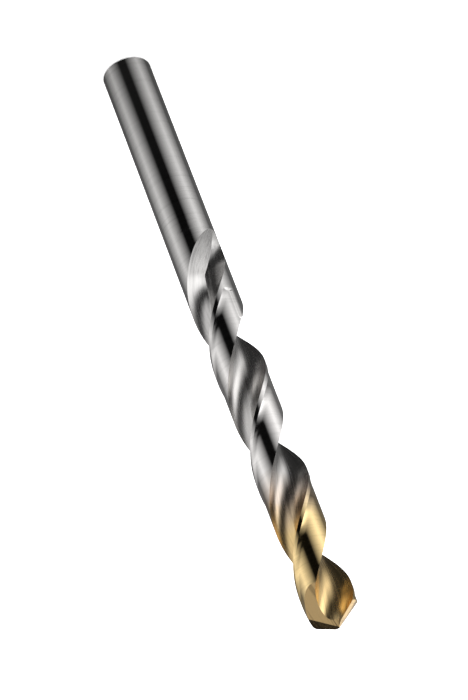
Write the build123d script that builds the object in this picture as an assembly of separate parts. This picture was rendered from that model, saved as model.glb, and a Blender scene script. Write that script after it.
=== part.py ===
from build123d import *
import os
from math import acos, asin, cos, degrees, pi, radians, sin, sqrt, tan

# Jobber-length twist drill bit with a parallel shank, two right-hand flutes
# and a split point. All sizes are in millimetres and degrees.
#
# The bit stands on its shank end: the origin is the centre of that end face
# and +Z runs along the axis to the point. The cutting lips lie along X.

# Overall sizes
drill_diameter = 10.0      # across the lips' outer corners, and of the shank
overall_length = 133.0     # shank end to chisel edge
shank_length = 44.1        # plain shank, below the flutes
shank_taper = 0.7          # short cone from the shank to the full diameter
shank_undersize = 0.03     # how far the shank is ground below the drill radius
shank_chamfer = 0.4        # on the rim of the shank end

# Flutes
flute_length = 88.0        # chisel edge to the end of the run-out
helix_angle = 32.0         # measured at the drill diameter
land_angle = 79.0          # arc of each land, leading edge to heel
web_thickness = 2.0        # core left between the flutes, at the point
web_growth = 0.38          # rise of each flute's floor, point to shank
runout_radius = 14.0       # arc on which the flutes rise out of the bit
runout_direction = 68.0    # way they rise, from the leading edge

# Lands
margin_width = 0.73        # full-diameter strip behind each leading edge
clearance_depth = 0.24     # how far the rest of a land is ground down
margin_fillet = 1.0        # hollow between a margin and the lowered land
clearance_setback = 14.3   # end of the run-out to where a land is lowered
clearance_start = 31.5     # arc from leading edge to the wheel's first line
clearance_corner = 0.9     # rounding of the lowered land's first corner

# Point
point_angle = 118.0        # included angle between the lips
lip_relief = 12.0          # first facet behind each lip
heel_relief = 27.0         # second facet, behind the first
lip_facet_width = 1.2
notch_angle = 31.0         # split-point notch, measured from the axis
notch_lip_angle = 32.0     # inner lip made by the notch, from the main lip
chisel_length = 0.5        # what the two notches leave of the chisel edge

# Values that follow from the sizes above
drill_radius = drill_diameter / 2
land_radius = drill_radius - clearance_depth
core_radius = web_thickness / 2
lead = pi * drill_diameter / tan(radians(helix_angle))
lip_slope = 1 / tan(radians(point_angle / 2))
lip_height = overall_length + core_radius * tan(radians(lip_relief))
corner_height = lip_height - drill_radius * lip_slope
flute_start = overall_length - flute_length
hollow_overrun = margin_fillet / 40  # how far the hollow dips below the land
outside = drill_radius * 1.8        # radius to which the cutting shapes reach
section_step = lead / 12            # spacing of the sections along a flute


def polar(radius, angle):
    """Point in the cross-section at a radius and an angle in degrees."""
    return Vector(radius * cos(radians(angle)), radius * sin(radians(angle)))


def twist(height):
    """Turn of the flutes at a height, zero at the outer corners."""
    return 360 * (height - corner_height) / lead


def lip_angle(radius):
    """Angle of the cutting face in the section through the outer corners.

    Every point of a straight lip lies half the web ahead of the axis. It
    meets this section one turn of the helix lower down, so the face that
    leaves the lip straight is slightly hooked.
    """
    ahead = degrees(asin(core_radius / radius))
    drop = (drill_radius - radius) * lip_slope
    return ahead - 360 * drop / lead


leading_angle = lip_angle(drill_radius)
heel_angle = leading_angle + 180 - land_angle


def runout_rise(height):
    """Extra rise of the flute floor where the flute leaves the bit."""
    depth = drill_radius - core_radius - web_growth
    span = sqrt(runout_radius**2 - (runout_radius - depth) ** 2)
    below = max(0.0, flute_start + span - height)
    return runout_radius - sqrt(runout_radius**2 - below**2)


def floor_rise(height):
    """How far the flute's section has moved outwards at a height."""
    along = (corner_height - height) / flute_length
    return max(0.0, web_growth * along) + runout_rise(height)


def flute_outline():
    """Closed outline of the space of one flute, at the outer corners."""
    shares = (1.4, 1.2, 1.0, 0.8, 0.6, 0.4, 0.3, 0.24)
    radii = [drill_radius * share for share in shares]
    radii += [core_radius * 1.12, core_radius]
    points = [polar(radius, lip_angle(radius)) for radius in radii]
    floor_angle = lip_angle(core_radius)
    along_floor = polar(1, floor_angle + 90)
    cutting_face = Spline(points, tangents=[points[1] - points[0], along_floor])

    # The heel side is one arc, tangent to the core, that ends at the heel.
    spread = cos(radians(heel_angle - floor_angle))
    centre_radius = (drill_radius**2 - core_radius**2) / 2
    centre_radius /= drill_radius * spread - core_radius
    centre = polar(centre_radius, floor_angle)
    from_centre = polar(drill_radius, heel_angle) - centre
    arc = from_centre.get_angle(polar(-1, floor_angle)) + 4
    heel_side = CenterArc(centre, centre_radius - core_radius, floor_angle + 180, -arc)

    rest = Polyline(
        heel_side @ 1,
        polar(outside, heel_angle),
        polar(outside, leading_angle + 20),
        points[0],
    )
    return make_face(cutting_face + heel_side + rest)


def flute_cutter():
    """Solid of the space that one flute takes out of the bit."""
    outline = flute_outline()
    away = polar(1, leading_angle + runout_direction)
    sections = []
    height = flute_start - 1.2
    while height < overall_length + section_step:
        moved = Pos(away * floor_rise(height)) * outline
        sections.append(Pos(0, 0, height) * Rot(0, 0, twist(height)) * moved)
        near_runout = height < flute_start + runout_radius
        height += section_step / 3 if near_runout else section_step
    return loft(sections)


def hollow_arc(radius):
    """Arc from the lowest point of a margin's hollow out to a radius."""
    hollow_radius = land_radius - hollow_overrun + margin_fillet
    squares = radius**2 + hollow_radius**2 - margin_fillet**2
    return degrees(acos(squares / (2 * radius * hollow_radius)))


def lowered_land_outline():
    """Closed outline of the layer ground off one land behind its margin."""
    step_angle = leading_angle - degrees(margin_width / drill_radius)
    past_heel = leading_angle - land_angle - 12

    # A hollow of its own radius joins the margin to the lowered land. Its arc
    # runs on above the margin and below the lowered land, so both cut cleanly.
    foot_angle = step_angle - hollow_arc(drill_radius)
    low = Vector(polar(land_radius - hollow_overrun, foot_angle))
    top_radius = drill_radius + margin_fillet / 4
    top = polar(top_radius, foot_angle + hollow_arc(top_radius))
    hollow = RadiusArc(top, low, margin_fillet)
    rest = Polyline(
        low,
        polar(land_radius * 0.8, past_heel),
        polar(outside, past_heel),
        polar(outside, step_angle),
        top,
    )
    return make_face(hollow + rest)


def wheel_window():
    """Block inside which the grinding wheel has first lowered the land.

    The wheel comes down along a line parallel to the axis, so the lowered
    land starts with a straight edge, and a rounded corner, on its heel side.
    """
    start = flute_start + clearance_setback
    first_line = twist(start) + leading_angle - clearance_start
    length = lead * (land_angle + 6 - clearance_start) / 360
    window = Rectangle(outside, length, align=(Align.MIN, Align.MIN))
    corner = window.vertices().sort_by(Axis.X)[:2].sort_by(Axis.Y)[0]
    window = fillet(corner, clearance_corner)
    side = Plane(origin=(0, 0, start), x_dir=polar(1, first_line + 90), z_dir=polar(1, first_line))
    below = Pos(0, 0, start + length) * Box(
        4 * outside, 4 * outside, 4 * outside, align=(Align.CENTER, Align.CENTER, Align.MAX))
    return below - side * extrude(window, outside)


def lowered_land_cutter():
    """Solid of the layer that is ground off one land."""
    outline = lowered_land_outline()
    sections = []
    height = flute_start + clearance_setback - section_step
    while height < overall_length + section_step:
        sections.append(Pos(0, 0, height) * Rot(0, 0, twist(height)) * outline)
        height += section_step
    core = Cylinder(land_radius, 2 * overall_length)
    return loft(sections) - core - wheel_window()


def block_above(plane):
    """Block that removes all that lies above a facet of the point."""
    side = 4 * outside
    return plane * Box(side, side, side, align=(Align.CENTER, Align.CENTER, Align.MIN))


def lip_facet(relief, behind):
    """Block above one facet behind the lip along +X.

    The facet slopes down along the lip with the point angle and falls away
    behind it with its relief angle.
    """
    drop = behind * tan(radians(lip_relief))
    start = Vector(0, core_radius - behind, lip_height - drop)
    along_lip = Vector(1, 0, -lip_slope)
    back = Vector(0, -1, -tan(radians(relief)))
    return block_above(Plane(origin=start, x_dir=along_lip, z_dir=back.cross(along_lip)))


def notch_block():
    """Wedge of the split point, ground behind the lip along +X."""
    lean = radians(notch_angle)
    foot = Vector(0, -chisel_length / 2, overall_length)
    facet = Plane(origin=foot, x_dir=(1, 0, 0), z_dir=(0, -cos(lean), sin(lean)))
    inner_lip = Plane(origin=foot, x_dir=(0, 0, 1), z_dir=polar(1, notch_lip_angle - 90))
    return block_above(facet) & block_above(inner_lip)


def rod():
    """Blank of the bit: shank and body are ground to one diameter."""
    on_base = (Align.CENTER, Align.CENTER, Align.MIN)
    blank = Cylinder(drill_radius, overall_length, align=on_base)
    return chamfer(blank.edges().sort_by(Axis.Z)[0], shank_chamfer)


def shank_skin():
    """Ring ground off the shank, so that it slides into a 10 mm collet."""
    shank_radius = drill_radius - shank_undersize
    slope = shank_undersize / shank_taper
    past_end = 1.2 * shank_taper
    profile = Polyline(
        (shank_radius, -shank_taper),
        (shank_radius, shank_length),
        (shank_radius + slope * past_end, shank_length + past_end),
        (outside, shank_length + past_end),
        (outside, -shank_taper),
        close=True,
    )
    return revolve(Plane.XZ * make_face(profile), Axis.Z)


def drill_bit():
    """The whole bit: the blank less two of each thing that is ground away."""
    ground_away = [
        lowered_land_cutter(),
        flute_cutter(),
        lip_facet(lip_relief, 0),
        lip_facet(heel_relief, lip_facet_width),
        notch_block(),
    ]
    bit = rod()
    for shape in ground_away:
        bit = bit - shape - Rot(0, 0, 180) * shape
    return bit - shank_skin()


os.makedirs("parts", exist_ok=True)
bit = drill_bit()
print("drill bit", round(bit.volume, 1), "cubic mm")
export_step(bit, "parts/drill_bit.step")
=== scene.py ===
# %% [markdown]
# # A twist drill bit
#
# This lesson dresses a imported CAD part in Blender. The part is a drill bit of
# ground steel with two spiral flutes, a split point and a gold hard coating
# over its last three centimetres. It is one rigid piece, so everything here
# is about one good surface and the light that it mirrors.
#
# The first lines load the CAD part as a fixed frame.

# %% Load the frame
from math import asin, atan2, cos, degrees, hypot, pi, radians, sin, sqrt, tan

import bmesh
import bpy
from mathutils import Matrix, Vector


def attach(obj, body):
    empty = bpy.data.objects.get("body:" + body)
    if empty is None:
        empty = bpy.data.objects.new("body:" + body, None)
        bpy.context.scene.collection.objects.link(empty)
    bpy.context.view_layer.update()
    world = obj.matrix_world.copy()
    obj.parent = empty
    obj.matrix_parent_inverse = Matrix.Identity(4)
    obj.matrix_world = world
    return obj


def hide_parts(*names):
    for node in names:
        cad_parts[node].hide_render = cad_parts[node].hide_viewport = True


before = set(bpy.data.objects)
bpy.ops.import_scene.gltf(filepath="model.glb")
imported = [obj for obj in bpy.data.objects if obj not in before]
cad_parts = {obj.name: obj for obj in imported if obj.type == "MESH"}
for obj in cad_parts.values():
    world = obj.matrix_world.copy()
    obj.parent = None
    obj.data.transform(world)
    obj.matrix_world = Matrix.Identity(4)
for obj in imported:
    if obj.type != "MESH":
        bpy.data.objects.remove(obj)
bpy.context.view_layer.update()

# %% [markdown]
# ## The sizes of the drill
#
# A drill is described by a handful of numbers: its diameter, its length, the
# slope of the helix, how thick the web between the flutes is, and the angles
# of the point. The shapes below are all worked out from these, in millimetres
# and degrees, and only the last step of each shape turns them into metres.

# %% Sizes
DIAMETER = 10.0
LENGTH = 133.0             # shank end to chisel edge
SHANK_CHAMFER = 0.4
FLUTE_LENGTH = 88.8        # chisel edge to the end of the run-out
HELIX_ANGLE = 32.0         # at the full diameter
LAND_ANGLE = 79.0          # arc of a land, leading edge to heel
WEB = 2.0                  # core between the flutes, at the point
WEB_GROWTH = 0.38          # rise of a flute's floor, point to shank
RUNOUT_RADIUS = 14.0       # arc on which the wheel lifts out
RUNOUT_DIRECTION = 68.0    # way it lifts, from the leading edge
CREASE_START = 42.5        # height that the run-out's crease is counted from
CREASE_LENGTH = 10.5       # and how far above it the crease reaches the floor
MARGIN_WIDTH = 0.73        # full-diameter strip behind a leading edge
CLEARANCE = 0.24           # how far the rest of a land is lowered
HOLLOW_RADIUS = 14.0       # of the hollow between margin and lowered land
CLEARANCE_SETBACK = 15.1   # end of the run-out to the start of the lowered land
CLEARANCE_START = 31.5     # arc from the leading edge to the wheel's first line
CLEARANCE_CORNER = 0.9     # rounding of the lowered land's first corner
START_SLOPE = 0.9          # length of the slope at its start
WALL_WIDTH = 0.8           # width of the soft step on its heel side
POINT_ANGLE = 118.0        # included angle between the lips
LIP_RELIEF = 12.0          # first facet behind a lip
HEEL_RELIEF = 27.0         # second facet
LIP_FACET = 1.2            # width of the first facet
NOTCH_ANGLE = 29.3         # split-point notch, from the axis
NOTCH_LIP_ANGLE = 32.0     # inner lip, from the main lip
CHISEL = 0.5               # chisel edge left between the notches

radius = DIAMETER / 2
core = WEB / 2
lead = pi * DIAMETER / tan(radians(HELIX_ANGLE))
lip_slope = 1 / tan(radians(POINT_ANGLE / 2))
lip_height = LENGTH + core * tan(radians(LIP_RELIEF))
corner_height = lip_height - radius * lip_slope
flute_start = LENGTH - FLUTE_LENGTH
hook = 2 * pi * lip_slope / lead          # turn of the cutting face, radians per mm
print("one turn of the helix every", round(lead, 2), "mm")
print("outer corners at", round(corner_height, 2), "mm")

# %% [markdown]
# ## Writing formulas as nodes
#
# Geometry Nodes can bend a plain grid into any shape that has a formula, but
# a formula of fifty Math nodes is hard to read when each node is linked by
# hand. So we give Python a small class that stands for one value in a node
# tree. Adding or multiplying two of them adds the Math node and its links.

# %% A value in a node tree
class Value:
    """One number in a node tree. Arithmetic on it adds Math nodes."""

    def __init__(self, tree, socket):
        self.tree = tree
        self.socket = socket

    def math(self, operation, *others):
        """Adds one Math node and returns its result."""
        node = self.tree.nodes.new("ShaderNodeMath")
        node.operation = operation
        for slot, value in zip(node.inputs, (self, *others)):
            if isinstance(value, Value):
                self.tree.links.new(value.socket, slot)
            else:
                slot.default_value = value
        return Value(self.tree, node.outputs[0])

    def __add__(self, other): return self.math("ADD", other)
    def __sub__(self, other): return self.math("SUBTRACT", other)
    def __rsub__(self, other): return (self * -1.0) + other
    def __mul__(self, other): return self.math("MULTIPLY", other)
    def __rmul__(self, other): return self.math("MULTIPLY", other)
    def __truediv__(self, other): return self.math("DIVIDE", other)
    def __neg__(self): return self * -1.0

    def cos(self): return self.math("COSINE")
    def sin(self): return self.math("SINE")
    def sqrt(self): return self.math("SQRT")
    def power(self, other): return self.math("POWER", other)
    def most(self, other): return self.math("MAXIMUM", other)
    def least(self, other): return self.math("MINIMUM", other)
    def over(self, other): return self.math("GREATER_THAN", other)
    def under(self, other): return self.math("LESS_THAN", other)
    def remainder(self, other): return self.math("MODULO", other)
    def whole(self): return self.math("FLOOR")

    def share(self, start, count):
        """0 before a start, 1 after it and a count, and even in between."""
        return ((self - start) / count).most(0.0).least(1.0)


def angle_of(x, y):
    """The angle of a point, in radians."""
    return y.math("ARCTAN2", x)


def length_of(x, y):
    """The distance of a point from the axis."""
    return (x * x + y * y).sqrt()


print("formula helper ready")

# %% [markdown]
# ## How the body is laid out
#
# On the real drill a wheel grinds each flute while the rod turns and moves
# along, so every cross-section is the same outline, turned a little further.
# The body could be cut with booleans, but those leave ragged triangles that
# spoil a mirror-like surface. Instead we bend one grid: its rows lie across
# the drill and its columns follow the flutes, so each sharp edge of the drill
# falls exactly on a column.
#
# These are the columns of one half turn. The other flute uses them again.

# %% Columns around half the drill
COLUMNS = {
    "cutting face": 24,   # from the leading edge to the floor of the flute
    "heel side": 24,      # from the floor up to the heel
    "full land": 12,      # land that the wheel has not reached yet
    "wall": 4,            # the step down to the lowered land
    "lowered land": 14,   # land that the wheel has ground down
    "hollow": 10,         # rises from the lowered land to the margin
    "margin": 12,         # the narrow strip at full diameter
}
first_column = {}
half_columns = 0
for name, count in COLUMNS.items():
    first_column[name] = half_columns
    half_columns += count
print(half_columns * 2, "columns around the drill")

# %% [markdown]
# ## The outline of a flute
#
# The cutting face has to leave the lip perfectly straight. Every point of a
# straight lip lies half the web ahead of the axis, and a point nearer the axis
# lies higher on the cone of the point, so it has turned less. That is why the
# face is slightly hooked. The other side is one plain arc up to the heel.

# %% Angles and arcs of the outline
leading_angle = asin(core / radius)
floor_angle = pi / 2 - hook * (radius - core)
heel_angle = leading_angle + pi - radians(LAND_ANGLE)
arc_centre = (radius**2 - core**2) / 2 / (radius * cos(heel_angle - floor_angle) - core)
arc_radius = arc_centre - core
heel_direction = atan2(
    radius * sin(heel_angle) - arc_centre * sin(floor_angle),
    radius * cos(heel_angle) - arc_centre * cos(floor_angle),
)
heel_arc = floor_angle + pi - heel_direction
away_angle = leading_angle + radians(RUNOUT_DIRECTION)
print("heel side: radius", round(arc_radius, 2), "mm over", round(degrees(heel_arc)), "degrees")

# %% Where the flute has just left the rod
apart = away_angle - floor_angle
last_rise = sqrt(radius**2 - (core * sin(apart)) ** 2) - core * cos(apart)
full_growth = WEB_GROWTH * (corner_height - flute_start) / FLUTE_LENGTH
runout_depth = radius - core - full_growth
runout_span = sqrt(RUNOUT_RADIUS**2 - (RUNOUT_RADIUS - runout_depth) ** 2)
last_drop = last_rise - full_growth
flute_end = flute_start + runout_span - sqrt(RUNOUT_RADIUS**2 - (RUNOUT_RADIUS - last_drop) ** 2)
print("the flutes start", round(flute_end, 2), "mm above the shank end")

# %% Land that is ground down behind the margin
low_radius = radius - CLEARANCE
low_start = flute_start + CLEARANCE_SETBACK
hollow_centre = low_radius + HOLLOW_RADIUS
hollow_arc = (radius**2 + hollow_centre**2 - HOLLOW_RADIUS**2) / (2 * radius * hollow_centre)
hollow_arc = atan2(sqrt(1 - hollow_arc**2), hollow_arc)
print("the hollow behind a margin spans", round(degrees(hollow_arc), 1), "degrees")

# %% [markdown]
# ## Rows along the drill
#
# Rows are dense where the shape changes quickly: at the run-out, where a
# flute rises out of the rod, and where the lowered land begins. Each entry is
# a number of rows, how far they reach along the drill, and a power: with a
# power of 2 the rows start very close together and spread out.

# %% Rows along the drill
UNDER_FLUTES = 3.0      # where the columns of the shank stop turning
RUNOUT_REACH = 11.0     # of the dense rows in the run-out
CORNER_REACH = 6.6      # of the closer rows past the lowered land's corner
PAST_POINT = 1.5        # rod left above the point, for the facets to cut
slope_start = low_start - START_SLOPE / 2
slope_end = low_start + START_SLOPE / 2
ROWS = [
    (1, 0.0, 1),                                        # centre of the end face to its rim
    (1, SHANK_CHAMFER, 1),
    (6, flute_end - UNDER_FLUTES - SHANK_CHAMFER, 1),   # plain shank
    (10, UNDER_FLUTES, 1),
    (60, RUNOUT_REACH, 2),                              # run-out of the flutes
    (8, slope_start - flute_end - RUNOUT_REACH, 1),
    (8, START_SLOPE, 1),                                # start of the lowered land
    (10, CLEARANCE_CORNER, 2),
    (20, CORNER_REACH, 1),
    (170, LENGTH + PAST_POINT - slope_end - CLEARANCE_CORNER - CORNER_REACH, 1),
    (1, 0.0, 1),                                        # closed above the point
]
row_count = sum(count for count, _, _ in ROWS)
print(row_count, "rows along the drill")

# %% [markdown]
# ## The node tree of the body
#
# The tree takes its sizes as named inputs, so that someone can change the
# helix or the web on the modifier. Two helpers keep it short: one links two
# sockets, the other adds a node and sets what it needs.

# %% Start the tree, with named inputs
INPUTS = {
    "Radius": radius,
    "Half web": core,
    "Web growth per mm": WEB_GROWTH / FLUTE_LENGTH,
    "Turn per mm": 2 * pi / lead,
    "Hook per mm": hook,
    "Corner height": corner_height,
    "Flute start": flute_start,
    "Flute end": flute_end,
    "Run-out radius": RUNOUT_RADIUS,
    "Clearance": CLEARANCE,
    "Margin width": MARGIN_WIDTH,
}
FINISHES = {"Land steel": 0.0, "Flute steel": 1.0, "Point steel": 2.0}
body_tree = bpy.data.node_groups.new("fluted_body", "GeometryNodeTree")
for name, value in INPUTS.items():
    socket = body_tree.interface.new_socket(name, in_out="INPUT", socket_type="NodeSocketFloat")
    socket.default_value = value
for name in FINISHES:
    body_tree.interface.new_socket(name, in_out="INPUT", socket_type="NodeSocketMaterial")
body_tree.interface.new_socket("Geometry", in_out="OUTPUT", socket_type="NodeSocketGeometry")
group_in = body_tree.nodes.new("NodeGroupInput")
group_out = body_tree.nodes.new("NodeGroupOutput")
size = {name: Value(body_tree, group_in.outputs[name]) for name in INPUTS}
print("tree with", len(group_in.outputs) - 1, "inputs")


# %% Helpers for nodes
def add(kind, **settings):
    """Adds a node to the body's tree and sets its properties."""
    node = body_tree.nodes.new(kind)
    for name, value in settings.items():
        setattr(node, name, value)
    return node


def link(source, target):
    """Links two sockets of the body's tree."""
    body_tree.links.new(source, target)


def vector(x, y, z):
    """Joins three values into a position."""
    node = add("ShaderNodeCombineXYZ")
    for slot, value in zip(node.inputs, (x, y, z)):
        link(value.socket, slot)
    return node.outputs[0]


print("node helpers ready")

# %% The plain grid, and each point's column and row
grid = add("GeometryNodeMeshGrid")
grid.inputs["Size X"].default_value = 1.0
grid.inputs["Size Y"].default_value = 1.0
grid.inputs["Vertices X"].default_value = 2 * half_columns + 1
grid.inputs["Vertices Y"].default_value = row_count + 1
place = add("ShaderNodeSeparateXYZ")
link(add("GeometryNodeInputPosition").outputs[0], place.inputs[0])
around = ((Value(body_tree, place.outputs[0]) + 0.5) * (2 * half_columns) + 0.5).whole()
row = ((Value(body_tree, place.outputs[1]) + 0.5) * row_count + 0.5).whole()
half = ((around + 0.5) / half_columns).whole()
column = around - half * half_columns
print("grid of", (2 * half_columns + 1) * (row_count + 1), "points")

# %% Height of a row
height = Value(body_tree, add("ShaderNodeValue").outputs[0])
first_row = 0
for count, reach, power in ROWS:
    share = row.share(first_row, count)
    if power != 1:
        share = share.power(power)
    if reach:
        height = height + share * reach
    first_row += count
below_corner = height.most(size["Flute end"] - UNDER_FLUTES) - size["Corner height"]
turn = below_corner * size["Turn per mm"]
print(first_row, "rows in", len(ROWS), "groups")

# %% [markdown]
# ## Moving the outline out of the rod
#
# The web gets a little thicker towards the shank, and at the end of a flute
# the wheel is lifted out along its own arc. Both simply move the outline away
# from the axis, so one value, the rise, is enough.

# %% How far the outline has moved out
growth = ((size["Corner height"] - height) * size["Web growth per mm"]).most(0.0)
wheel = size["Run-out radius"]
depth = size["Radius"] - size["Half web"] - growth
span = (wheel * wheel - (wheel - depth) * (wheel - depth)).sqrt()
below = (size["Flute start"] + span - height).most(0.0)
rise = growth + wheel - (wheel * wheel - below * below).most(0.0).sqrt()
away_x = rise * cos(away_angle)
away_y = rise * sin(away_angle)


def flute_point(share):
    """A point of the flute: share -1 is the leading edge, 0 the floor, 1 the heel."""
    reach = (size["Radius"] * size["Radius"] - size["Half web"] * size["Half web"]).sqrt()
    along = (-share).most(0.0) * reach
    distance = length_of(along, size["Half web"])
    angle = angle_of(along, size["Half web"]) - size["Hook per mm"] * (size["Radius"] - distance)
    swing = share.most(0.0) * (-heel_arc) + (floor_angle + pi)
    out = arc_centre - core
    x = distance * angle.cos() + swing.cos() * arc_radius + out * cos(floor_angle) + away_x
    y = distance * angle.sin() + swing.sin() * arc_radius + out * sin(floor_angle) + away_y
    return x, y


print("the wheel lifts out over", round(runout_span, 1), "mm")

# %% [markdown]
# ## Finding the rims of the flute
#
# The outline has to stop exactly where it meets the surface of the rod, or
# the edges of the flute would look like a saw. There is no tidy formula for
# that place, so a Repeat Zone finds it by halving: it tries a step, keeps it
# if the point is still inside the rod, and halves the step. Fourteen rounds
# are good to less than a thousandth of a millimetre.

# %% Height at which the land is ground down
lowered = ((height - (low_start - START_SLOPE / 2)) / START_SLOPE).most(0.0).least(1.0)
lowered = lowered * lowered * (lowered * -2.0 + 3.0)
low = size["Radius"] - size["Clearance"] * lowered
past_start = (height - low_start).most(0.0)
line = (past_start * size["Turn per mm"]) * -1.0 + (pi + leading_angle - radians(CLEARANCE_START))
rounding = past_start.least(CLEARANCE_CORNER) * -1.0 + CLEARANCE_CORNER
corner = (rounding * rounding * -1.0 + CLEARANCE_CORNER**2).sqrt() * -1.0 + CLEARANCE_CORNER
line = line + corner / radius
open_strip = line.over(heel_angle)
heel_radius = low + size["Clearance"] * lowered * open_strip
print("the lowered land starts", round(low_start, 1), "mm above the shank end")

# %% The Repeat Zone
zone_in = add("GeometryNodeRepeatInput")
zone_out = add("GeometryNodeRepeatOutput")
zone_in.pair_with_output(zone_out)
zone_out.repeat_items.clear()
for name in ("Leading share", "Heel share", "Step"):
    zone_out.repeat_items.new("FLOAT", name)
HALVINGS = 14
zone_in.inputs["Iterations"].default_value = HALVINGS
zone_in.inputs["Step"].default_value = 0.5
step = Value(body_tree, zone_in.outputs["Step"])
searches = (("Leading share", -1.0, size["Radius"]), ("Heel share", 1.0, heel_radius))
for name, side, limit in searches:
    found = Value(body_tree, zone_in.outputs[name])
    inside = length_of(*flute_point((found + step) * side)).under(limit)
    link((found + step * inside).socket, zone_out.inputs[name])
link((step * 0.5).socket, zone_out.inputs["Step"])
leading_share = Value(body_tree, zone_out.outputs["Leading share"])
heel_share = Value(body_tree, zone_out.outputs["Heel share"])
print("repeat zone with", len(zone_out.repeat_items), "values")

# %% Points of the flute
cut_share = column.share(first_column["cutting face"], COLUMNS["cutting face"])
rise_share = column.share(first_column["heel side"], COLUMNS["heel side"])
flute_x, flute_y = flute_point(rise_share * heel_share - (1.0 - cut_share) * leading_share)
leading_edge = flute_point(-leading_share)
heel_edge = flute_point(heel_share)
leading_rim = angle_of(*leading_edge)
heel_rim = angle_of(*heel_edge)
print("flute made of", first_column["full land"], "columns")

# %% [markdown]
# ## The crease in the run-out
#
# While the wheel lifts out, its corner leaves a crease across the flute, from
# the floor towards the leading edge, and both walls beside it are nearly flat.
# So each row there is pulled towards two straight lines that meet at the
# crease, which bends gently on its way.

# %% Two flat walls that meet at a crease
STAY_FLAT = 10.0      # how far above the crease's start the walls stay flat
CREASE_LEAN = 1.35    # how steeply the crease leaves the floor
CREASE_BEND = 0.95    # how much it bends back further on
flatness = 1.0 - height.share(CREASE_START + STAY_FLAT, CREASE_LENGTH)
flatness = flatness * flatness * (flatness * -2.0 + 3.0)
across = 1.0 - height.share(CREASE_START, CREASE_LENGTH)
across = across * (across * -CREASE_BEND + CREASE_LEAN)
flat_walls = []
flute_floor = flute_point(column * 0.0)
for bent, deep, leading, heel in zip((flute_x, flute_y), flute_floor, leading_edge, heel_edge):
    crease = deep + (leading - deep) * across
    flat = crease + (leading - crease) * (1.0 - cut_share) + (heel - crease) * rise_share
    flat_walls.append(bent + (flat - bent) * flatness)
flute_x, flute_y = flat_walls
print("the crease reaches the floor", CREASE_START + CREASE_LENGTH, "mm above the shank end")

# %% Points of the land
margin_foot = size["Margin width"] / size["Radius"] * -1.0 + (pi + leading_angle)
hollow_foot = margin_foot - hollow_arc
line = line.most(heel_rim).least(hollow_foot - WALL_WIDTH / radius)
wall = (hollow_foot - line).least(WALL_WIDTH / radius) * line.over(heel_rim + 0.001)
shares = {name: column.share(first_column[name], COLUMNS[name]) for name in COLUMNS}
next_rim = leading_rim + pi
land_angle = heel_rim + (line - heel_rim) * shares["full land"]
land_angle = land_angle + wall * shares["wall"]
land_angle = land_angle + (hollow_foot - line - wall) * shares["lowered land"]
land_angle = land_angle + hollow_arc * shares["hollow"]
land_angle = land_angle + (next_rim - margin_foot) * shares["margin"]

swing = shares["hollow"] * hollow_arc
hollow = (HOLLOW_RADIUS**2 - (swing.sin() * hollow_centre).power(2.0)).sqrt() * -1.0
hollow = (swing.cos() * hollow_centre + hollow).most(low)
step_up = 1.0 - shares["wall"] * shares["wall"] * (shares["wall"] * -2.0 + 3.0)
land_radius = low + (heel_radius - low) * step_up + (hollow - low)
print("land made of", half_columns - first_column["full land"], "columns")

# %% [markdown]
# Below the flutes the columns are spread evenly round the shank. Uneven
# columns would still lie on the same circle, but the shading between a wide
# and a narrow face is bent, and a mirror shows that at once.

# %% Spread the columns on the shank
EVEN_FROM = 0.2       # mm below the flutes
EVEN_OVER = 2.0
flute_columns = first_column["full land"]
even_angle = (column - flute_columns) / (half_columns - flute_columns)
even_angle = heel_rim + (next_rim - heel_rim) * even_angle
even = (size["Flute end"] - height).share(EVEN_FROM, EVEN_OVER)
land_angle = land_angle + (even_angle - land_angle) * even
print("columns are even", EVEN_FROM + EVEN_OVER, "mm below the flutes")

# %% Join flute and land, turn them along the helix, and close the ends
on_land = column.over(flute_columns + 0.5)
flute_radius = length_of(flute_x, flute_y).least(size["Radius"])
flute_angle = angle_of(flute_x, flute_y)
point_radius = flute_radius + (land_radius - flute_radius) * on_land
point_angle = flute_angle + (land_angle - flute_angle) * on_land + turn + half * pi
rim = row.share(0, 1) * (radius - SHANK_CHAMFER) / radius + row.share(1, 1) * SHANK_CHAMFER / radius
rim = rim - row.share(row_count - 1, 1)
point_radius = point_radius * rim
position = vector(point_radius * point_angle.cos(), point_radius * point_angle.sin(), height)
print("body nodes so far:", len(body_tree.nodes))

# %% Set the positions, and note which faces lie in a flute
keep = add("GeometryNodeCaptureAttribute")
keep.capture_items.new("FLOAT", "Column")
link(grid.outputs["Mesh"], keep.inputs["Geometry"])
link(around.socket, keep.inputs["Column"])
bend = add("GeometryNodeSetPosition")
link(keep.outputs["Geometry"], bend.inputs["Geometry"])
link(position, bend.inputs["Position"])
face_column = Value(body_tree, keep.outputs["Column"]).remainder(half_columns)


def store_finish(geometry, value):
    """Writes on each face the number of its finish."""
    store = add("GeometryNodeStoreNamedAttribute", data_type="FLOAT", domain="FACE")
    store.inputs["Name"].default_value = "finish"
    link(geometry, store.inputs["Geometry"])
    if isinstance(value, Value):
        link(value.socket, store.inputs["Value"])
    else:
        store.inputs["Value"].default_value = value
    return store.outputs["Geometry"]


body = store_finish(bend.outputs["Geometry"], face_column.under(float(flute_columns)))
WELD_DISTANCE = 0.002     # closes the grid's seam and its two ends
weld = add("GeometryNodeMergeByDistance")
weld.inputs["Distance"].default_value = WELD_DISTANCE
link(body, weld.inputs["Geometry"])
body = weld.outputs["Geometry"]
print("body nodes:", len(body_tree.nodes))

# %% [markdown]
# ## Grinding the point
#
# The point is ground last, against flat wheels, so every facet is a plane.
# Here flat cuts are exactly right: a large block stands on each plane. Behind
# each lip come two facets, and then the split-point notch, a wedge that
# shortens the chisel edge. One Mesh Boolean takes all six away at once. Six in
# a row gave an empty mesh for some numbers of columns.

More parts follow.
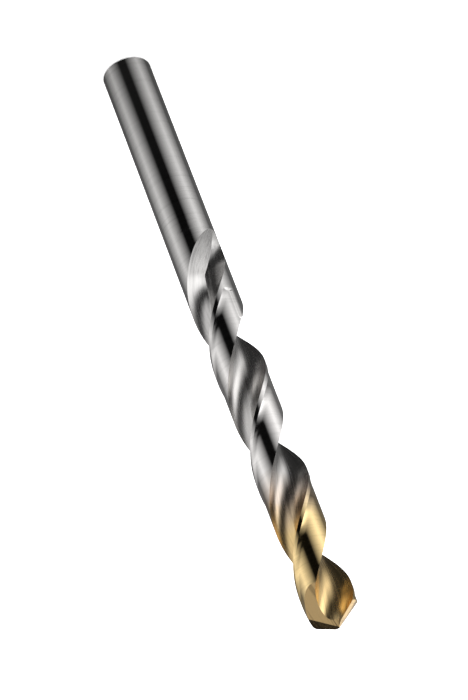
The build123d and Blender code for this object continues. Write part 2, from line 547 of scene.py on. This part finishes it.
# %% A block that stands on a plane
BLOCK_SIDE = 24.0     # more than twice the drill's width


def block(origin, x_direction, normal):
    """Mesh block above a plane through a point, in millimetres."""
    cube = add("GeometryNodeMeshCube")
    cube.inputs["Size"].default_value = (BLOCK_SIDE, BLOCK_SIDE, BLOCK_SIDE)
    place = add("GeometryNodeTransform")
    z = Vector(normal).normalized()
    x = Vector(x_direction).normalized()
    turned = Matrix((x, z.cross(x), z)).transposed()
    place.inputs["Translation"].default_value = Vector(origin) + z * BLOCK_SIDE / 2
    place.inputs["Rotation"].default_value = turned.to_euler()
    link(cube.outputs["Mesh"], place.inputs["Geometry"])
    return store_finish(place.outputs["Geometry"], FINISHES["Point steel"])


def combine(operation, first, others):
    """Mesh Boolean of a shape with a list of others."""
    node = add("GeometryNodeMeshBoolean", operation=operation, solver="EXACT")
    link(first, node.inputs["Mesh 1" if operation == "DIFFERENCE" else "Mesh 2"])
    for other in others:
        link(other, node.inputs["Mesh 2"])
    return node.outputs["Mesh"]


print("blocks are", BLOCK_SIDE, "mm wide")


# %% The facets behind one lip, and the notch
def lip_facet(relief, behind):
    """Block above one facet behind the lip along +X."""
    start = (0, core - behind, lip_height - behind * tan(radians(LIP_RELIEF)))
    along_lip = Vector((1, 0, -lip_slope))
    back = Vector((0, -1, -tan(radians(relief))))
    return block(start, along_lip, back.cross(along_lip))


def notch():
    """Wedge of the split point, behind the lip along +X."""
    lean = radians(NOTCH_ANGLE)
    foot = (0, -CHISEL / 2, LENGTH)
    side = radians(NOTCH_LIP_ANGLE - 90)
    facet = block(foot, (1, 0, 0), (0, -cos(lean), sin(lean)))
    inner_lip = block(foot, (0, 0, 1), (cos(side), sin(side), 0))
    return combine("INTERSECT", facet, [inner_lip])


ground_away = []
for shape in (lip_facet(LIP_RELIEF, 0), lip_facet(HEEL_RELIEF, LIP_FACET), notch()):
    for half_turn in (0, pi):
        turned = add("GeometryNodeTransform")
        turned.inputs["Rotation"].default_value = (0, 0, half_turn)
        link(shape, turned.inputs["Geometry"])
        ground_away.append(turned.outputs["Geometry"])
body = combine("DIFFERENCE", body, ground_away)
print("body nodes with the point:", len(body_tree.nodes))

# %% [markdown]
# ## Sharp edges and materials
#
# A steel edge is only a few hundredths of a millimetre wide, so it is marked
# sharp wherever two faces meet at more than fourteen degrees, and everything
# else is shaded smooth. The tree works in millimetres, so its last step
# shrinks the result to metres.

# %% Finish the tree
SHARP_ANGLE = 14.0
smooth = add("GeometryNodeSetShadeSmooth", domain="FACE")
link(body, smooth.inputs["Geometry"])
sharp = add("GeometryNodeSetShadeSmooth", domain="EDGE")
edge_angle = Value(body_tree, add("GeometryNodeInputMeshEdgeAngle").outputs["Unsigned Angle"])
link(smooth.outputs["Geometry"], sharp.inputs["Geometry"])
link(edge_angle.over(radians(SHARP_ANGLE)).socket, sharp.inputs["Selection"])
sharp.inputs["Shade Smooth"].default_value = False
shrink = add("GeometryNodeTransform")
shrink.inputs["Scale"].default_value = (0.001, 0.001, 0.001)
link(sharp.outputs["Geometry"], shrink.inputs["Geometry"])
realize = add("GeometryNodeRealizeInstances")
link(shrink.outputs["Geometry"], realize.inputs["Geometry"])
body = realize.outputs["Geometry"]
finish_name = add("GeometryNodeInputNamedAttribute", data_type="FLOAT")
finish_name.inputs["Name"].default_value = "finish"
finish = Value(body_tree, finish_name.outputs["Attribute"])
for name, number in FINISHES.items():
    paint = add("GeometryNodeSetMaterial")
    link(body, paint.inputs["Geometry"])
    link(finish.over(number - 0.5).socket, paint.inputs["Selection"])
    link(group_in.outputs[name], paint.inputs["Material"])
    body = paint.outputs["Geometry"]
link(body, group_out.inputs["Geometry"])
print("finished tree:", len(body_tree.nodes), "nodes,", len(body_tree.links), "links")

# %% [markdown]
# ## Grinding marks
#
# Ground steel is never a plain mirror. A wheel leaves fine scratches that all
# run the same way: around the shank, along the helix in a flute, and straight
# across a facet of the point. One shader group makes them all. It first turns
# the object coordinates back along the helix, so that a flute becomes a
# straight groove, and then reads a noise that is stretched along the scratches.

# %% A shader group for grinding marks
def socket(tree, name, in_out, kind, value=None):
    """Adds a named input or output to a group."""
    made = tree.interface.new_socket(name, in_out=in_out, socket_type="NodeSocket" + kind)
    if value is not None:
        made.default_value = value


def grinding_marks():
    """Group that puts out fine marks and broad unevenness, both around 0.5."""
    tree = bpy.data.node_groups.new("grinding_marks", "ShaderNodeTree")
    socket(tree, "Turn per metre", "INPUT", "Float", 0.0)
    socket(tree, "Stretch", "INPUT", "Vector", (1, 1, 1))
    socket(tree, "Marks", "OUTPUT", "Float")
    socket(tree, "Unevenness", "OUTPUT", "Float")
    inside = tree.nodes.new("NodeGroupInput")
    outside = tree.nodes.new("NodeGroupOutput")
    place = tree.nodes.new("ShaderNodeTexCoord")
    split = tree.nodes.new("ShaderNodeSeparateXYZ")
    tree.links.new(place.outputs["Object"], split.inputs[0])
    turn_back = Value(tree, split.outputs["Z"]) * Value(tree, inside.outputs["Turn per metre"])
    straight = tree.nodes.new("ShaderNodeVectorRotate")
    straight.rotation_type = "Z_AXIS"
    tree.links.new(place.outputs["Object"], straight.inputs["Vector"])
    tree.links.new((-turn_back).socket, straight.inputs["Angle"])
    stretch = tree.nodes.new("ShaderNodeVectorMath")
    stretch.operation = "MULTIPLY"
    tree.links.new(straight.outputs["Vector"], stretch.inputs[0])
    tree.links.new(inside.outputs["Stretch"], stretch.inputs[1])
    for name, scale, detail in (("Marks", 1.0, 4.0), ("Unevenness", 0.16, 2.0)):
        noise = tree.nodes.new("ShaderNodeTexNoise")
        noise.inputs["Scale"].default_value = scale
        noise.inputs["Detail"].default_value = detail
        noise.inputs["Roughness"].default_value = 0.6
        tree.links.new(stretch.outputs["Vector"], noise.inputs["Vector"])
        tree.links.new(noise.outputs["Fac"], outside.inputs[name])
    return tree


marks_group = grinding_marks()
print("marks group:", len(marks_group.nodes), "nodes")

# %% [markdown]
# ## The gold coating
#
# The point is coated with a thin gold-coloured ceramic. It doesn't end at a
# line: towards the shank the layer gets thinner and turns brownish before it
# is gone. So the group blends steel into brown and brown into gold by the
# height on the object, and a little noise keeps the border from being a ring.
# The shank's steel is a little darker than the body's, so the same group also
# blends from the one to the other.

# %% A shader group for the coating
SHANK = (0.58, 0.57, 0.56, 1)
STEEL = (0.82, 0.80, 0.785, 1)
BROWN = (0.62, 0.50, 0.40, 1)
GOLD = (1.0, 0.75, 0.37, 1)
DARKER_UP_TO = 0.058      # metres above the shank end, just past the run-out
DARKER_FADE = 0.020       # and the length over which it blends
BORDER_WAVE = 0.006       # how far noise moves the border, in metres
BORDER_SCALE = 160.0      # how fine that noise is


def gold_coat():
    """Group that puts out the colour of bare, thinly coated and coated steel."""
    tree = bpy.data.node_groups.new("gold_coat", "ShaderNodeTree")
    socket(tree, "Steel", "INPUT", "Color", STEEL)
    socket(tree, "Gold", "INPUT", "Color", GOLD)
    socket(tree, "Fade start", "INPUT", "Float", 0.100)
    socket(tree, "Fade end", "INPUT", "Float", 0.112)
    socket(tree, "Colour", "OUTPUT", "Color")
    inside = tree.nodes.new("NodeGroupInput")
    outside = tree.nodes.new("NodeGroupOutput")
    place = tree.nodes.new("ShaderNodeTexCoord")
    split = tree.nodes.new("ShaderNodeSeparateXYZ")
    tree.links.new(place.outputs["Object"], split.inputs[0])
    noise = tree.nodes.new("ShaderNodeTexNoise")
    noise.inputs["Scale"].default_value = BORDER_SCALE
    tree.links.new(place.outputs["Object"], noise.inputs["Vector"])
    wave = (Value(tree, noise.outputs["Fac"]) - 0.5) * BORDER_WAVE
    height = Value(tree, split.outputs["Z"]) + wave
    start = Value(tree, inside.outputs["Fade start"])
    end = Value(tree, inside.outputs["Fade end"])
    share = ((height - start) / (end - start)).most(0.0).least(1.0)
    colour = tree.nodes.new("ShaderNodeRGB").outputs["Color"]
    colour.default_value = SHANK
    brown = tree.nodes.new("ShaderNodeRGB").outputs["Color"]
    brown.default_value = BROWN
    steps = (
        (height.share(DARKER_UP_TO, DARKER_FADE), inside.outputs["Steel"]),
        (share.share(0.0, 0.5), brown),
        (share.share(0.4, 0.6), inside.outputs["Gold"]),
    )
    for factor, target in steps:
        mix = tree.nodes.new("ShaderNodeMix")
        mix.data_type = "RGBA"
        tree.links.new(factor.socket, mix.inputs["Factor"])
        tree.links.new(colour, mix.inputs["A"])
        tree.links.new(target, mix.inputs["B"])
        colour = mix.outputs["Result"]
    tree.links.new(colour, outside.inputs["Colour"])
    return tree


coat_group = gold_coat()
print("coat group:", len(coat_group.nodes), "nodes")

# %% [markdown]
# ## Three finishes
#
# Lands, flutes and point are the same metal shader, each with its own marks:
# how long and how fine they are, how much they roughen and darken the surface,
# and how deep they are. The steel and gold of the flutes are darker than those
# of the lands, which is painted shade in the grooves, and the gold on the
# facets of the point is darker, too.

# %% One recipe for all finishes
SMOOTHEST = 0.05     # no ground surface is a perfect mirror


def ground_finish(name, turn, stretch, roughness, vary, depth, shade, steel=STEEL, gold=GOLD):
    """Metal whose marks change its colour, its roughness and its surface."""
    material = bpy.data.materials.new(name)
    material.use_nodes = True
    tree = material.node_tree
    shader = tree.nodes["Principled BSDF"]
    shader.inputs["Metallic"].default_value = 1.0
    marks = tree.nodes.new("ShaderNodeGroup")
    marks.node_tree = marks_group
    marks.inputs["Turn per metre"].default_value = turn
    marks.inputs["Stretch"].default_value = stretch
    coat = tree.nodes.new("ShaderNodeGroup")
    coat.node_tree = coat_group
    coat.inputs["Steel"].default_value = steel
    coat.inputs["Gold"].default_value = gold
    fine = Value(tree, marks.outputs["Marks"])
    broad = Value(tree, marks.outputs["Unevenness"])
    darker = 1.0 - (1.0 - fine - broad).most(0.0) * shade
    tint = tree.nodes.new("ShaderNodeVectorMath")
    tint.operation = "SCALE"
    tree.links.new(coat.outputs["Colour"], tint.inputs[0])
    tree.links.new(darker.socket, tint.inputs["Scale"])
    tree.links.new(tint.outputs["Vector"], shader.inputs["Base Color"])
    rough = (fine - 0.5) * vary + (broad - 0.5) * vary + roughness
    tree.links.new(rough.most(SMOOTHEST).socket, shader.inputs["Roughness"])
    bump = tree.nodes.new("ShaderNodeBump")
    bump.inputs["Strength"].default_value = 1.0
    bump.inputs["Distance"].default_value = depth
    tree.links.new(fine.socket, bump.inputs["Height"])
    tree.links.new(bump.outputs["Normal"], shader.inputs["Normal"])
    return material


print("a finish uses the groups", marks_group.name, "and", coat_group.name)

# %% The three finishes
# Darker steel and gold in the flutes: painted shade that deepens the grooves beyond what the light
# gives them.
FLUTE_SHADED_STEEL = (0.60, 0.585, 0.57, 1)
FLUTE_SHADED_GOLD = (0.85, 0.62, 0.30, 1)
POINT_GOLD = (0.46, 0.32, 0.15, 1)
twist_per_metre = 2 * pi / lead * 1000
land_steel = ground_finish(
    "land_steel", turn=0.0, stretch=(90, 90, 5200),
    roughness=0.105, vary=0.06, depth=1.5e-6, shade=0.45)
flute_steel = ground_finish(
    "flute_steel", turn=twist_per_metre, stretch=(2600, 2600, 60),
    roughness=0.25, vary=0.20, depth=1.2e-6, shade=1.0, steel=FLUTE_SHADED_STEEL, gold=FLUTE_SHADED_GOLD)
point_steel = ground_finish(
    "point_steel", turn=0.0, stretch=(2200, 60, 60),
    roughness=0.22, vary=0.12, depth=1e-6, shade=3.0, gold=POINT_GOLD)
print("materials:", [m.name for m in (land_steel, flute_steel, point_steel)])

# %% [markdown]
# ## From the node tree to one mesh
#
# The tree runs as a modifier on an object with no faces of its own. Its inputs
# are set by their identifiers, and the evaluated result is copied as a plain
# mesh, because the finished piece has to stand without the tree. A closed mesh
# has exactly two faces on every edge, so counting the others shows any hole.

# %% Run the tree and keep its result as a plain mesh
holder = bpy.data.objects.new("body_tree_holder", bpy.data.meshes.new("empty"))
bpy.context.scene.collection.objects.link(holder)
modifier = holder.modifiers.new("fluted body", "NODES")
modifier.node_group = body_tree
values = dict(INPUTS)
values.update({"Land steel": land_steel, "Flute steel": flute_steel, "Point steel": point_steel})
for item in body_tree.interface.items_tree:
    if item.in_out == "INPUT":
        modifier[item.identifier] = values[item.name]
graph = bpy.context.evaluated_depsgraph_get()
mesh = bpy.data.meshes.new_from_object(holder.evaluated_get(graph))
bpy.data.objects.remove(holder)
mesh.name = "drill_body"
drill = bpy.data.objects.new("drill_body", mesh)
bpy.context.scene.collection.objects.link(drill)
slots = [face.material_index for face in mesh.polygons]
for index, material in enumerate(mesh.materials):
    print(slots.count(index), "faces of", material.name if material else "no material")
widest = max(hypot(point.co.x, point.co.y) for point in mesh.vertices)
print("height", max(point.co.z for point in mesh.vertices), "widest radius", widest)

# %% Check that the mesh is closed
test = bmesh.new()
test.from_mesh(mesh)
open_edges = [e for e in test.edges if len(e.link_faces) != 2]
volume = test.calc_volume(signed=True) * 1e9
print("open edges:", len(open_edges), "volume in cubic mm:", round(volume, 1))
test.free()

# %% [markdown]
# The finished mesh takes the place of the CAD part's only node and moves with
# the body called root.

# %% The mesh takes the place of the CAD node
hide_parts("drill_bit")
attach(drill, "root")
print(drill.name, "shown in place of drill_bit")

# %% [markdown]
# ## The floor
#
# The drill stands on its shank end on a plain white floor, large enough to
# fill the view. Polished steel would mirror all that white and lose its dark
# lines, so the floor is hidden from mirror reflections.

# %% Floor
FLOOR_HALF = 3.0      # metres from the drill to each side
FLOOR_WHITE = (0.9, 0.9, 0.9, 1)
floor_mesh = bpy.data.meshes.new("floor")
shape = bmesh.new()
bmesh.ops.create_grid(shape, x_segments=1, y_segments=1, size=FLOOR_HALF)
shape.to_mesh(floor_mesh)
shape.free()
floor = bpy.data.objects.new("floor", floor_mesh)
bpy.context.scene.collection.objects.link(floor)
paint = bpy.data.materials.new("floor_white")
paint.use_nodes = True
floor_shader = paint.node_tree.nodes["Principled BSDF"]
floor_shader.inputs["Base Color"].default_value = FLOOR_WHITE
floor_mesh.materials.append(paint)
floor.visible_glossy = False
print("floor reaches", max(point.co.x for point in floor_mesh.vertices), "m to each side")

# %% [markdown]
# ## The camera
#
# A long lens about 64 cm from the shank end looks down at the standing drill.
# The camera is turned nearly upside down, so the drill runs steeply down the
# picture to its point at the lower right. The three rows are the picture's
# right, down and forward directions. They and the camera's place are turned
# together about the drill's axis.

# %% Camera
VIEW_TURN = -24.61
CAMERA_PLACE = (0, -0.5153536, 0.3833209)
CAMERA_ROWS = (
    (-0.9336, 0.18573, 0.30641),
    (0.35831, 0.48467, 0.79794),
    (-0.00031, 0.85475, -0.51903),
)
view_turn = Matrix.Rotation(radians(VIEW_TURN), 3, "Z")
camera_data = bpy.data.cameras.new("camera")
camera = bpy.data.objects.new("camera", camera_data)
bpy.context.scene.collection.objects.link(camera)
camera_data.sensor_fit = "VERTICAL"
camera_data.sensor_height = 36
camera_data.lens = 162.63
camera_data.clip_start = 0.01
right, down, forward = (view_turn @ Vector(axis) for axis in CAMERA_ROWS)
axes = Matrix((right, -down, -forward)).transposed()
camera.matrix_world = Matrix.Translation(view_turn @ Vector(CAMERA_PLACE)) @ axes.to_4x4()
bpy.context.scene.camera = camera
print("camera", round(Vector(CAMERA_PLACE).length, 2), "m from the shank end")

# %% [markdown]
# ## The light
#
# Polished steel shows nothing but what it mirrors, so its light is laid out
# like a product studio: a dark room with a few large softboxes. The camera
# looks down, and an upright wall mirrors what lies just as far below the
# level. So two low boxes draw the bright strips on shank and lands, and the
# dark gap between them draws the black line. The slanted walls of the flutes
# and the point also mirror what is higher up, where four more boxes stand.
#
# All of them are part of the world, as brightness by direction, so they stay
# far away and soft. Only mirror reflections see them. Everything else, such as
# the light on the floor, comes from plain white.

# %% A world, and helpers for its nodes
bpy.context.scene.view_settings.view_transform = "Standard"
world = bpy.data.worlds.new("studio")
bpy.context.scene.world = world
world.use_nodes = True
sky = world.node_tree
sky.nodes.clear()


def sky_node(kind, **settings):
    """Adds a node to the world and sets its properties."""
    node = sky.nodes.new(kind)
    for name, value in settings.items():
        setattr(node, name, value)
    return node


print("world:", world.name)

# %% Direction around the drill and above the level, in degrees
direction = sky_node("ShaderNodeTexCoord")
parts = []
side_axis, front_axis = view_turn @ Vector((-1, 0, 0)), view_turn @ Vector((0, -1, 0))
for axis in (side_axis, front_axis, Vector((0, 0, 1))):
    dot = sky_node("ShaderNodeVectorMath", operation="DOT_PRODUCT")
    sky.links.new(direction.outputs["Generated"], dot.inputs[0])
    dot.inputs[1].default_value = axis
    parts.append(Value(sky, dot.outputs["Value"]))
side, front, up = parts
azimuth = side.math("ARCTAN2", front) * (180 / pi)
height_up = up.math("ARCSINE") * (180 / pi)
print("direction 0 is the camera's side,", [round(part, 3) for part in front_axis])

# %% The softboxes
# Each: direction around the drill, half width and soft edge in degrees, brightness.
LOW_BOXES = ((-75, 3, 52, 1.0), (67, 3, 52, 1.2))
HIGH_BOXES = ((-50, 20, 30, 0.85), (60, 12, 15, 1.1), (80, 20, 40, 0.75), (150, 8, 10, 2.0))
DARK_ROOM = 0.03
CEILING = 0.25
BACK_WALL = 0.15


def softboxes(boxes):
    """Brightness by direction of a row of softboxes with soft edges."""
    light = azimuth * 0.0
    for direction_to, half_width, soft_edge, level in boxes:
        away = (azimuth - direction_to).math("ABSOLUTE")
        light = light + (1.0 - away.share(half_width, soft_edge)) * level
    return light


print(len(LOW_BOXES) + len(HIGH_BOXES), "softboxes")

# %% Stack the low boxes, the high boxes and the ceiling
# Each band: height in degrees where it starts, and degrees over which it blends in.
LOW_BAND = (-41.0, 7.0)
HIGH_BAND = (-20.0, 14.0)
CEILING_BAND = (28.0, 20.0)
BEHIND = (95.0, 30.0)      # the back wall, in degrees around the drill
above_low = height_up.share(*LOW_BAND)
back_wall = azimuth.math("ABSOLUTE").share(*BEHIND) * BACK_WALL
light = (softboxes(LOW_BOXES) + back_wall) * above_low
light = light + (softboxes(HIGH_BOXES) - light) * height_up.share(*HIGH_BAND)
light = light + (CEILING - light) * height_up.share(*CEILING_BAND)
light = light + DARK_ROOM * (above_low * -0.9 + 1.0)     # mostly from below
print("world nodes:", len(sky.nodes))

# %% Mirror reflections see the softboxes, all else sees plain white
PLAIN_LIGHT = 2.4
path = sky_node("ShaderNodeLightPath")
mirror = sky_node("ShaderNodeBackground")
plain = sky_node("ShaderNodeBackground")
plain.inputs["Color"].default_value = (1, 1, 1, 1)
plain.inputs["Strength"].default_value = PLAIN_LIGHT
mirror.inputs["Color"].default_value = (1, 1, 1, 1)
sky.links.new(light.socket, mirror.inputs["Strength"])
pick = sky_node("ShaderNodeMixShader")
sky.links.new(path.outputs["Is Glossy Ray"], pick.inputs["Fac"])
sky.links.new(plain.outputs[0], pick.inputs[1])
sky.links.new(mirror.outputs[0], pick.inputs[2])
sky.links.new(pick.outputs[0], sky_node("ShaderNodeOutputWorld").inputs["Surface"])
print("world links:", len(sky.links))
